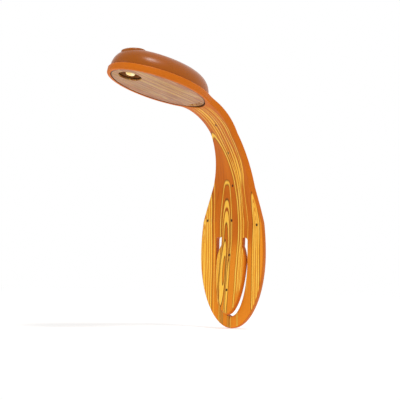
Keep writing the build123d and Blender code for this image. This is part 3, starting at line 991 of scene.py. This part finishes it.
# A painted sheen: grey-brown laid over the battery cover's print for the white room's reflection in it.
PAINTED_SHEEN = colour(128, 84, 46)
PLATE_FIBRE_DARK = colour(118, 76, 40)
PLATE_FIBRE_PALE = colour(206, 162, 108)
# Painted shade on the battery cover's border, sides and lamp hole wall.
PAINTED_GAP_SHADE = colour(88, 48, 18)
print("wood in linear light:", [round(c, 3) for c in WOOD])


# %% [markdown]
# A pattern is a formula, but a shader wants it as a web of Math nodes. The small class below lets
# the formulas be written as ordinary arithmetic: each sign puts one node into the tree.

# %% Arithmetic with nodes
class Amount:
    """A node's output that varies over the surface, and takes part in plain arithmetic."""

    def __init__(self, socket):
        self.socket, self.tree = socket, socket.id_data

    def __add__(self, other):
        return maths("ADD", self, other)

    def __sub__(self, other):
        return maths("SUBTRACT", self, other)

    def __rsub__(self, other):
        return maths("SUBTRACT", other, self)

    def __mul__(self, other):
        return maths("MULTIPLY", self, other)

    def __truediv__(self, other):
        return maths("DIVIDE", self, other)

    def __rtruediv__(self, other):
        return maths("DIVIDE", other, self)

    def __pow__(self, other):
        return maths("POWER", self, other)

    def __abs__(self):
        return maths("ABSOLUTE", self)


def tree_of(*values):
    """The node tree of the first amount among these."""
    return next(value.tree for value in values if isinstance(value, Amount))


def maths(operation, *values):
    """One Math node on amounts and plain numbers."""
    return Amount(new_node(tree_of(*values), "Math", *values, operation=operation).outputs[0])


# %% Ramps, colours and noise
def ramp(value, low, high):
    """0 below low, 1 above high, smooth between; low above high turns it round."""
    ends = (high, low, 1.0, 0.0) if low > high else (low, high, 0.0, 1.0)
    node = new_node(value.tree, "MapRange", value, *ends, interpolation_type="SMOOTHSTEP")
    return Amount(node.outputs["Result"])


def paint(under, over, share):
    """Lay one colour over another by a share from 0 to 1."""
    node = new_node(tree_of(under, over, share), "Mix", data_type="RGBA")
    for socket, value in zip((node.inputs[0], node.inputs[6], node.inputs[7]), (share, under, over)):
        feed(socket, value)
    return Amount(node.outputs[2])


def noise(tree, place, detail=2.0, roughness=0.5):
    """A noise value around 0.5, one cell to a unit of place."""
    return Amount(new_node(tree, "TexNoise", place, None, 1.0, detail, roughness).outputs["Fac"])


def grain_noise(across, along, rates, depth=0.0, detail=2.0, roughness=0.5):
    """Noise drawn out along the grain: the rates are cells per millimetre across and along."""
    place = new_node(across.tree, "CombineXYZ", across * rates[0], along * rates[1], depth)
    return noise(across.tree, place, detail, roughness)


# %% Node groups
def new_group(name, inputs, outputs):
    """An empty node group with named sockets, the amounts that it is given, and its output node."""
    group = bpy.data.node_groups.new(name, "ShaderNodeTree")
    kinds = {"Place": "NodeSocketVector", "Color": "NodeSocketColor"}
    for label, default in inputs.items():
        kind = kinds.get(label, "NodeSocketFloat")
        socket = group.interface.new_socket(name=label, in_out="INPUT", socket_type=kind)
        if default is not None:
            socket.default_value = default
    for label in outputs:
        kind = kinds.get(label, "NodeSocketFloat")
        group.interface.new_socket(name=label, in_out="OUTPUT", socket_type=kind)
    entry, leaving = group.nodes.new("NodeGroupInput"), group.nodes.new("NodeGroupOutput")
    return group, {label: Amount(entry.outputs[label]) for label in inputs}, leaving


def placed_group(group, tree, **values):
    """One use of a node group: each input takes an amount or a number, and its outputs come back."""
    node = new_node(tree, "Group", node_tree=group)
    for label, value in values.items():
        feed(node.inputs[label.replace("_", " ")], value)
    return {socket.name: Amount(socket) for socket in node.outputs}


# %% [markdown]
# Printed wood shows nested arches, where a sawn board cuts across the tree's rings, and straight
# streaks beside them. A picture of wood would repeat and blur; stretched noise alone has no
# arches. So one group draws one arch: the signed distance to an oval with a chosen centre, apex,
# half width, length and bluntness. Distances along the grain count a quarter, so that a line
# is thicker at the apex than on its legs, as in real wood.

# %% Group: one arch
LEAST = 0.001
ALONG_COUNTS = 0.25
arch_group, given, arch_out = new_group(
    "grain_arch",
    {"Across": None, "Along": None, "Centre": 0.0, "Apex": 0.0, "Half Width": 1.0, "Length": 10.0,
     "Bluntness": 2.0, "Closed": 0.0},
    ["Distance"],
)
half, length, bluntness = given["Half Width"], given["Length"], given["Bluntness"]
x = maths("MAXIMUM", abs(given["Across"] - given["Centre"]) / half, LEAST)
y = (given["Along"] - (given["Apex"] - length)) / length
y = maths("MAXIMUM", maths("MAXIMUM", y, abs(y) * given["Closed"]), LEAST)
less_one = bluntness - 1.0
x_low, y_low = x**less_one, y**less_one
radius = (x_low * x + y_low * y) ** (1.0 / bluntness)
slope_x, slope_y = x_low / half, y_low / (abs(length) * ALONG_COUNTS)
slope = maths("SQRT", slope_x * slope_x + slope_y * slope_y) / radius**less_one
feed(arch_out.inputs["Distance"], (radius - 1.0) / maths("MAXIMUM", slope, LEAST))
print("arch group has", len(arch_group.nodes), "nodes")

# %% [markdown]
# The print is painted in layers, as a printer would: wood brown, then the bundle of fine streaks
# that fans out up the arm, then the arches from the largest to the smallest, then the pores. Its
# place is the strip's own flat pattern, so it follows every bend and runs from piece to piece.
# All its measures are millimetres across and along the strip.

# %% Group: the wood print
FIBRE, BROAD, WANDER = (2.2, 0.07), (0.16, 0.02), (0.10, 0.035)  # cells per millimetre
BROAD_DEPTH, STREAK_DEPTH = 4.0, 9.0  # places in the noise, far from each other
wander_reach = 1.1
clip_start = (3.0, -8.0)

print_group, given, print_out = new_group("wood_print", {"Place": None}, ["Color", "Relief"])
split = new_node(print_group, "SeparateXYZ", given["Place"])
flat_across, along_print = (Amount(split.outputs[axis]) * (1 / MM) for axis in "XY")
across_print = flat_across + (grain_noise(flat_across, along_print, WANDER) - 0.5) * wander_reach
fibre = grain_noise(across_print, along_print, FIBRE, detail=3.0, roughness=0.6)
broad = grain_noise(across_print, along_print, BROAD, BROAD_DEPTH)
wood = paint(WOOD, WOOD_DARK, ramp(fibre, 0.45, 0.75))
wood = paint(wood, ORANGE, ramp(broad, 0.45, 0.7) * 0.55)
wood = paint(wood, BRIGHT_ORANGE, ramp(along_print, *clip_start) * 0.7)
gold = paint(YELLOW, PALE_YELLOW, ramp(fibre, 0.4, 0.65))
print("ground of the print:", len(print_group.nodes), "nodes")

# %% [markdown]
# The streaks are one bundle between a left and a right boundary that move along the arm, and a
# cosine of the place between them makes the single streaks. So the bundle fans out or draws
# together without a streak ending. A plain gap stays open in it on the lower arm.

# %% Streaks of the arm
left_boundary, left_fans, left_spread = 4.1, (22.0, 64.0), 11.5
right_boundary, right_swells, right_swell = 9.7, (25.0, 42.0), 0.9
right_closes, right_drawn_in = (58.0, 82.0), 3.5
streak_count, unevenness, uneven_rates = 6.5, 1.6, (7.0, 0.02)
gap_left, gap_right, gap_ends = (0.6, 0.64), (0.86, 0.82), (34.0, 26.0)
tongue_fade = (-30.0, -24.0)

bundle_left = left_boundary - ramp(along_print, *left_fans) * left_spread
bundle_right = ramp(along_print, *right_swells) * right_swell + right_boundary
bundle_right = bundle_right - ramp(along_print, *right_closes) * right_drawn_in
bundle_width = bundle_right - bundle_left
place_in = (across_print - bundle_left) / bundle_width
uneven = grain_noise(place_in, along_print, uneven_rates, STREAK_DEPTH, detail=1.0)
wave = maths("COSINE", (place_in * streak_count + uneven * unevenness) * (2 * pi))
narrow = ramp(bundle_width, 15.0, 6.0)
streak = wave - (0.35 - narrow * 0.45)
gap = ramp(place_in, *gap_left) * ramp(place_in, *gap_right) * ramp(along_print, *gap_ends)
within = ramp(place_in, 0.0, 0.03) * ramp(place_in, 1.0, 0.96)
within = within * (1.0 - gap) * ramp(along_print, *tongue_fade)
layer = paint(wood, OLIVE, ramp(streak, -0.75, -0.2) * within * 0.5)
layer = paint(layer, gold, ramp(streak, -0.15, 0.35) * within * (narrow * 0.2 + 0.8))
print("with the streaks:", len(print_group.nodes), "nodes")


# %% Strokes of the print
def filled(under, over, distance, soft=0.18):
    """Everything inside the arch takes a colour."""
    return paint(under, over, ramp(distance, soft, -soft))


def lined(under, over, distance, half=0.22, soft=0.18):
    """A line along the arch."""
    return paint(under, over, ramp(abs(distance), half + soft, max(half - soft, 0.0)))


def ringed(under, over, distance, spacing, share):
    """Thin lines inside the arch, side by side, following its outline."""
    wave = maths("COSINE", distance * (2 * pi / spacing))
    return paint(under, over, ramp(wave, -0.2, 0.5) * ramp(distance, 0.1, -0.2) * share)


# %% Arches of the print
# Each arch: centre, apex, half width, length, bluntness, closed, and then what is laid over it.
arches = [
    # The largest arch, open at the left, and the plain field inside it
    (-8.4, 56.0, 12.3, 38.0, 1.5, 0, (filled, wood), (lined, OLIVE, 0.5), (lined, gold, 0.3)),
    # The wings of the clip, left and right
    (-16.2, 33.0, 5.9, 36.0, 2.0, 0, (lined, gold, 0.16)),
    (-16.4, 27.5, 4.9, 30.0, 2.0, 0, (filled, gold), (ringed, ORANGE, 1.3, 0.9), (lined, OLIVE, 0.1)),
    (18.6, 27.0, 3.4, 45.0, 2.2, 0, (filled, BRIGHT_ORANGE, 0.5)),
    (14.5, 25.0, 2.3, 30.0, 2.2, 0, (filled, gold), (ringed, WOOD, 1.1, 0.75), (lined, OLIVE, 0.1)),
    # The nested arches in the middle of the clip, running down into the tongue
    (-3.5, 29.8, 3.4, 60.0, 4.0, 0, (filled, wood), (lined, OLIVE, 0.36), (lined, gold, 0.22)),
    (-3.4, 21.0, 2.75, 44.0, 3.2, 0, (filled, gold), (lined, OLIVE, 0.12)),
    (-3.35, 15.8, 2.15, 40.0, 3.0, 0, (lined, WOOD_DARK, 0.26)),
    (-3.4, 8.4, 1.45, 34.0, 2.6, 0, (filled, wood), (lined, OLIVE, 0.12)),
    # On the tongue: the streaks on its left, two long lenses, and a dark eye in the larger
    (-7.6, 0.5, 1.25, 17.0, 2.2, 1, (filled, gold), (ringed, WOOD, 0.8, 0.6)),
    (-3.95, -0.3, 1.75, 17.5, 1.8, 1, (filled, gold), (lined, OLIVE, 0.14)),
    (-3.35, -9.2, 0.7, 7.2, 2.0, 1, (filled, wood), (lined, OLIVE, 0.1)),
    (-0.65, -10.5, 0.75, 15.0, 2.0, 1, (filled, gold), (lined, OLIVE, 0.1)),
    # On the battery cover: a pointed arch that opens towards the tip, and broad pale streaks
    (-9.2, 92.5, 2.4, -30.0, 1.6, 0, (lined, OLIVE, 0.6), (lined, gold, 0.34)),
    (-9.2, 98.0, 1.2, -24.0, 1.6, 0, (lined, gold, 0.2)),
    (1.2, 135.0, 1.1, 26.0, 2.2, 1, (filled, gold, 0.4)),
    (10.2, 130.0, 2.3, 24.0, 2.0, 1, (filled, gold, 0.5), (ringed, WOOD, 1.1, 0.6)),
    (4.6, 128.0, 0.6, 22.0, 2.0, 1, (filled, gold, 0.3)),
]
for centre, apex, half, length, bluntness, closed, *strokes in arches:
    arch = placed_group(
        arch_group, print_group, Across=across_print, Along=along_print, Centre=centre, Apex=apex,
        Half_Width=half, Length=length, Bluntness=bluntness, Closed=closed,
    )
    for stroke, over, *sizes in strokes:
        layer = stroke(layer, over, arch["Distance"], *sizes)

print("with the arches:", len(print_group.nodes), "nodes")

# %% Pores: small dark dots where the photograph shows them
pore_edge, pore_depth, pore_length = (0.75, 0.42), 0.95, 0.8
pores = [(-14.8, 9.6), (-0.3, 10.0), (14.7, 8.1), (0.8, 28.1), (0.8, 45.9), (-0.7, 62.5),
         (-0.8, -8.2), (-0.8, -26.4)]
nearest = None
for pore_across, pore_along in pores:
    dx, dy = flat_across - pore_across, (along_print - pore_along) * pore_length
    away = maths("SQRT", dx * dx + dy * dy)
    nearest = away if nearest is None else maths("MINIMUM", nearest, away)
feed(print_out.inputs["Color"], paint(layer, PORE, ramp(nearest, *pore_edge) * pore_depth))
feed(print_out.inputs["Relief"], fibre)
print("print group has", len(print_group.nodes), "nodes")

# %% [markdown]
# Soft moulding isn't perfectly even: it has a fine matt grain, and handling leaves faint cloudy
# marks. One group gives both, as a mask for roughness and a height for the bump, and each
# material takes it at its own size.

# %% Group: handled surface
handled_group, given, handled_out = new_group(
    "handled_surface", {"Place": None, "Grain Size": 0.0006, "Cloud Size": 0.012}, ["Grain", "Clouds"]
)


def sized(place, size):
    """The place divided by a size, so that one noise cell is about that large."""
    return new_node(place.tree, "VectorMath", place, None, None, 1.0 / size, operation="SCALE")


fine = noise(handled_group, sized(given["Place"], given["Grain Size"]), 2.0, 0.6)
cloudy = noise(handled_group, sized(given["Place"], given["Cloud Size"]), 3.0, 0.55)
feed(handled_out.inputs["Grain"], fine)
feed(handled_out.inputs["Clouds"], ramp(cloudy, 0.35, 0.7))
print("handled group has", len(handled_group.nodes), "nodes")


# %% [markdown]
# Every finish below is built the same way: a Principled shader with its plain numbers on its own
# sockets, the handled surface at the size of this material, and then colour, gloss and bump.

# %% Material helpers
def new_finish(name, grain_size, cloud_size, **sockets):
    """A new material, its shader with constants set, and the handled surface at this size."""
    made = bpy.data.materials.new(name)
    made.use_nodes = True
    shader = made.node_tree.nodes["Principled BSDF"]
    for label, value in sockets.items():
        feed(shader.inputs[label.replace("_", " ")], value)
    place = new_node(made.node_tree, "TexCoord").outputs["Object"]
    surface = placed_group(
        handled_group, made.node_tree, Place=place, Grain_Size=grain_size, Cloud_Size=cloud_size
    )
    return made, shader, surface


def give_finish(shader, surface, base, gloss, bump=None, height=None):
    """Base colour, roughness by the clouds, and a bump of (distance, strength) from the grain."""
    feed(shader.inputs["Base Color"], base)
    rough = new_node(shader.id_data, "MapRange", surface["Clouds"], 0.0, 1.0, *gloss)
    feed(shader.inputs["Roughness"], rough)
    if bump:
        distance, strength = bump
        raised_by = new_node(shader.id_data, "Bump", strength, distance)
        feed(raised_by.inputs["Height"], surface["Grain"] if height is None else height)
        feed(shader.inputs["Normal"], raised_by)


def kept_share(tree, name):
    """A share that is kept on the mesh's points."""
    return Amount(new_node(tree, "Attribute", attribute_name=name).outputs["Fac"])


def wood_print(tree):
    """The print at its place on the strip's flat pattern."""
    place = new_node(tree, "UVMap", uv_map="print_place").outputs["UV"]
    return placed_group(print_group, tree, Place=place)


def wear(piece, material):
    """The piece's only material."""
    piece.data.materials.clear()
    piece.data.materials.append(material)


# %% [markdown]
# The soft strip is printed on its front only: its rounded edges and its back show the plain
# orange moulding. A share kept on the mesh's points says where the print ends, and a second one
# marks the ledge and walls of the recess that the battery cover sits in, which are painted dark
# brown as shade.

# %% Printed soft strip
strip_clouds = 0.012


def printed_strip(name):
    """The print on the front by the share kept on the mesh, plain moulding on edges and back, and painted
    shade in the battery cover's recess.
    """
    made, shader, surface = new_finish(
        name, grain_size=0.0005, cloud_size=strip_clouds, Specular_IOR_Level=0.15
    )
    grain, share = wood_print(shader.id_data), kept_share(shader.id_data, "printed")
    plain = paint(MOULDED, WOOD_DARK, surface["Clouds"] * 0.18)
    # Painted shade: the marked ledge and recess walls turn dark brown.
    plain = paint(plain, PAINTED_RECESS_SHADE, kept_share(shader.id_data, "recess_shade"))
    relief = surface["Grain"] + grain["Relief"] * share * 1.5
    base = paint(plain, grain["Color"], share)
    give_finish(shader, surface, base, gloss=(0.42, 0.56), bump=(0.00004, 0.7), height=relief)
    return made


strip_material = printed_strip("printed_soft_strip")
for piece in (
    flex_lower_skin, lower_arm_skin, middle_arm_skin, upper_arm_skin, ring_skin, tongue_skin, neck_skin
):
    wear(piece, strip_material)
wear(rim_skin, printed_strip("orange_rim"))
print("printed strip has", len(strip_material.node_tree.nodes), "nodes")

# %% [markdown]
# The battery cover is a hard plate with the same print on it. A grey-brown painted sheen lies over
# the print, for the white room's reflection in the glossy plate, and its fine fibres stand out darker
# and paler. Its border, sides and lamp hole wall are painted dark brown as shade in the gaps round
# it. It is a little glossier than the soft strip.

# %% Printed battery cover
sheen_share, fibre_share = 0.6, 0.6
plate_material, shader, surface = new_finish(
    "printed_hard_cover", grain_size=0.0004, cloud_size=strip_clouds,
    Specular_IOR_Level=0.25, Coat_Weight=0.05, Coat_Roughness=0.24, Coat_IOR=1.4,
)
grain = wood_print(shader.id_data)
# Painted sheen: the print is greyed towards brown, for the white room's reflection in the glossy plate.
plate_colour = paint(grain["Color"], PAINTED_SHEEN, sheen_share)
plate_colour = paint(plate_colour, PLATE_FIBRE_DARK, ramp(grain["Relief"], 0.5, 0.6) * fibre_share)
plate_colour = paint(plate_colour, PLATE_FIBRE_PALE, ramp(grain["Relief"], 0.46, 0.38) * fibre_share)
# Painted shade: dark brown where the print is off, on the plate's border, sides and lamp hole wall.
plate_colour = paint(PAINTED_GAP_SHADE, plate_colour, kept_share(shader.id_data, "printed"))
give_finish(shader, surface, plate_colour, gloss=(0.3, 0.42), bump=(0.00003, 0.5))
wear(plate_skin, plate_material)
print("battery cover has", len(plate_material.node_tree.nodes), "nodes")

# %% [markdown]
# Domed cover and button are one hard brown plastic. Its gloss is kept low, because the white room
# would otherwise wash the brown out.

# %% Glossy cover and button
for piece, name, base, grain_size in (
    (dome_skin, "glossy_cover", DOME_BROWN, 0.0005),
    (button_skin, "glossy_button", BUTTON_BROWN, 0.0004),
):
    made, shader, surface = new_finish(name, grain_size, cloud_size=0.016, Specular_IOR_Level=0.22)
    tone = paint(base, WOOD_DARK, surface["Clouds"] * 0.3)
    give_finish(shader, surface, tone, gloss=(0.26, 0.34), bump=(0.00002, 0.35))
    wear(piece, made)
    print(name, "on", piece.name)

# %% [markdown]
# The lamp's pale lens stands out in its dark cup, so besides its own colour it glows very
# faintly. The cup is a dull brown, darker where the clouds are.

# %% Lamp and its cup
made, shader, surface = new_finish(
    "lamp_lens", grain_size=0.0008, cloud_size=0.002, Specular_IOR_Level=0.5, Emission_Strength=0.22
)
lens_tone = paint(colour(240, 200, 110), colour(252, 232, 176), surface["Clouds"])
feed(shader.inputs["Emission Color"], lens_tone)
give_finish(shader, surface, lens_tone, gloss=(0.12, 0.2))
wear(led_skin, made)

made, shader, surface = new_finish("dark_cup", grain_size=0.0004, cloud_size=0.004, Specular_IOR_Level=0.15)
cup_tone = paint(colour(124, 72, 24), colour(92, 50, 14), surface["Clouds"])
give_finish(shader, surface, cup_tone, gloss=(0.4, 0.55), bump=(0.00003, 0.4))
wear(cup_skin, made)
print("lamp and cup finished")

# %% [markdown]
# The parts inside show when the battery cover is lifted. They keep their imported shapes, and each
# gets the finish of its own kind: bright steel on the cells, brass on the contacts, lacquered
# board, plain dark plastic on the tray.

# %% Inner parts
METAL, LACQUER = {"Metallic": 1.0}, {"Coat_Weight": 0.3}
inner_finishes = [
    # name, two tones, roughness, grain and cloud size, depth of the grain, constants, what wears it
    ("cell_steel", (196, 196, 192), (170, 170, 168), (0.22, 0.36), (0.0003, 0.003), 0.00001, METAL,
     "coin_cell_1", "coin_cell_2"),
    ("contact_brass", (206, 176, 110), (180, 146, 84), (0.26, 0.4), (0.0003, 0.003), 0.00001, METAL,
     "positive_contact", "negative_contact"),
    ("shape_wire", (150, 150, 150), (120, 120, 122), (0.3, 0.45), (0.0003, 0.004), 0.00001, METAL,
     "wires_clip", "wires_lower", "wires_middle", "wires_upper", "wires_head"),
    ("screw_steel", (176, 178, 180), (150, 152, 154), (0.24, 0.38), (0.0003, 0.002), 0.00001, METAL,
     "tray_screws"),
    ("tray_plastic", (58, 52, 48), (44, 40, 38), (0.42, 0.56), (0.0004, 0.006), 0.00003, {},
     "cell_tray", "switch_plunger"),
    ("board_green", (34, 96, 58), (26, 78, 48), (0.28, 0.4), (0.0006, 0.005), 0.00002, LACQUER,
     "circuit_board"),
    ("moulded_black", (34, 34, 36), (24, 24, 26), (0.36, 0.5), (0.0004, 0.003), 0.00002, {},
     "resistor", "switch_body"),
]
for name, first, second, gloss, sizes, depth, constants, *wearers in inner_finishes:
    made, shader, surface = new_finish(name, *sizes, **constants)
    tone = paint(colour(*first), colour(*second), surface["Clouds"])
    give_finish(shader, surface, tone, gloss, (depth, 0.5))
    for wearer in wearers:
        for material_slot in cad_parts[wearer].material_slots:
            material_slot.material = made
    print(name, "on", wearers)

# %% The end
bpy.context.view_layer.update()
